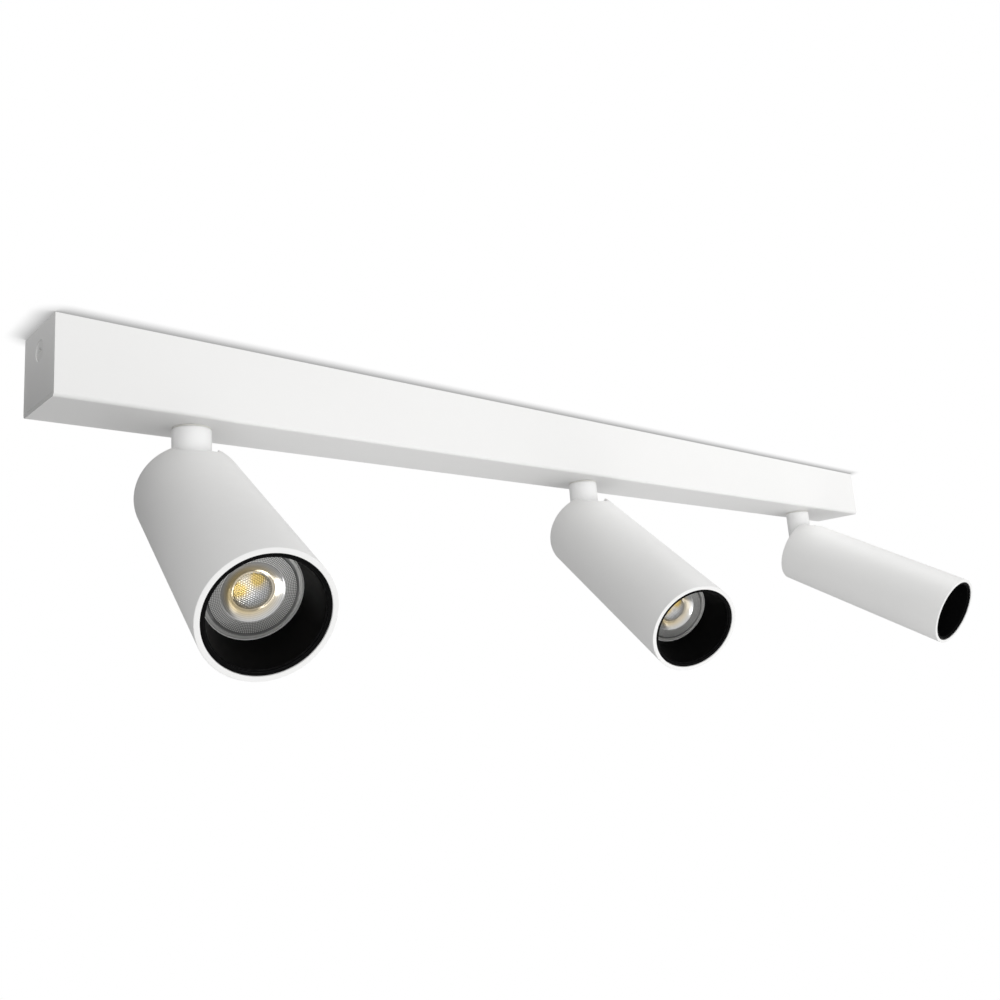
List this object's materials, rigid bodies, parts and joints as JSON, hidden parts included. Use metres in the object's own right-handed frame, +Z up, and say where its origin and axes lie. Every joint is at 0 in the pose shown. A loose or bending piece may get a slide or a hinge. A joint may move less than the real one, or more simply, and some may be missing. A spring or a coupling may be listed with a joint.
{
  "type": "ceiling spotlight bar",
  "caption": "Ceiling-mounted light bar with tubular spot heads that pan under the bar and tilt on short necks, each with a deep black anti-glare baffle and a clear lens.",
  "frame": {"origin": "centre of the ceiling face: the top of the mounting strip, midway along the bar", "axes": "+X along the bar, +Z up into the ceiling, -Y towards the front that the heads face"},
  "size_m": [0.75, 0.1642, 0.1804],
  "materials": {
    "white_powder_coat": "fine satin white powder coat over aluminium",
    "zinc_steel": "bright zinc plated",
    "black_rubber": "matte",
    "white_nylon": "matte",
    "brass": "plain",
    "lead_sheath": "silicone sheath",
    "ceramic": "unglazed white",
    "lamp_plastic": "satin",
    "clear_lens": "clear moulded optic",
    "black_baffle": "satin black"
  },
  "bodies": {
    "bar": {"canopy_channel": "white_powder_coat", "left_end_cap": "white_powder_coat", "right_end_cap": "white_powder_coat", "mounting_strip": "zinc_steel", "cable_bush": "black_rubber", "end_screws": "zinc_steel", "terminal_block": "white_nylon", "terminal_screws": "zinc_steel", "earth_terminal": "brass", "bar_leads": "lead_sheath", "stop_pins": "zinc_steel"},
    "swivel_1": {"neck_washer_1": "white_nylon", "neck_1": "white_powder_coat", "stop_washer_1": "zinc_steel", "lock_nut_1": "brass"},
    "head_1": {"tube_housing_1": "white_powder_coat", "rear_cap_1": "white_powder_coat", "pivot_screws_1": "zinc_steel", "friction_washers_1": "white_nylon", "holder_plate_1": "zinc_steel", "holder_screws_1": "zinc_steel", "lamp_holder_1": "ceramic", "lamp_body_1": "lamp_plastic", "lamp_pins_1": "zinc_steel", "lamp_lens_1": "clear_lens", "baffle_1": "black_baffle", "head_lead_1": "lead_sheath"},
    "swivel_2": {"neck_washer_2": "white_nylon", "neck_2": "white_powder_coat", "stop_washer_2": "zinc_steel", "lock_nut_2": "brass"},
    "head_2": {"tube_housing_2": "white_powder_coat", "rear_cap_2": "white_powder_coat", "pivot_screws_2": "zinc_steel", "friction_washers_2": "white_nylon", "holder_plate_2": "zinc_steel", "holder_screws_2": "zinc_steel", "lamp_holder_2": "ceramic", "lamp_body_2": "lamp_plastic", "lamp_pins_2": "zinc_steel", "lamp_lens_2": "clear_lens", "baffle_2": "black_baffle", "head_lead_2": "lead_sheath"},
    "swivel_3": {"neck_washer_3": "white_nylon", "neck_3": "white_powder_coat", "stop_washer_3": "zinc_steel", "lock_nut_3": "brass"},
    "head_3": {"tube_housing_3": "white_powder_coat", "rear_cap_3": "white_powder_coat", "pivot_screws_3": "zinc_steel", "friction_washers_3": "white_nylon", "holder_plate_3": "zinc_steel", "holder_screws_3": "zinc_steel", "lamp_holder_3": "ceramic", "lamp_body_3": "lamp_plastic", "lamp_pins_3": "zinc_steel", "lamp_lens_3": "clear_lens", "baffle_3": "black_baffle", "head_lead_3": "lead_sheath"}
  },
  "joints": [
    {"name": "pan_1", "type": "hinge", "parent": "bar", "child": "swivel_1", "pos_m": [-0.3, 0, -0.04], "axis": [0, 0, 1], "range_deg": [-157.2, 182.8]},
    {"name": "tilt_1", "type": "hinge", "parent": "swivel_1", "child": "head_1", "pos_m": [-0.3, 0, -0.0767], "axis": [-0.9751, 0.2215, 0], "range_deg": [-60.2, 24.8]},
    {"name": "pan_2", "type": "hinge", "parent": "bar", "child": "swivel_2", "pos_m": [0, 0, -0.04], "axis": [0, 0, 1], "range_deg": [-149.3, 190.7]},
    {"name": "tilt_2", "type": "hinge", "parent": "swivel_2", "child": "head_2", "pos_m": [0, 0, -0.0767], "axis": [-0.9354, 0.3535, 0], "range_deg": [-57, 28]},
    {"name": "pan_3", "type": "hinge", "parent": "bar", "child": "swivel_3", "pos_m": [0.3, 0, -0.04], "axis": [0, 0, 1], "range_deg": [-169.4, 170.6]},
    {"name": "tilt_3", "type": "hinge", "parent": "swivel_3", "child": "head_3", "pos_m": [0.3, 0, -0.0767], "axis": [-0.9999, 0.0105, 0], "range_deg": [-61.3, 23.7]}
  ]
}
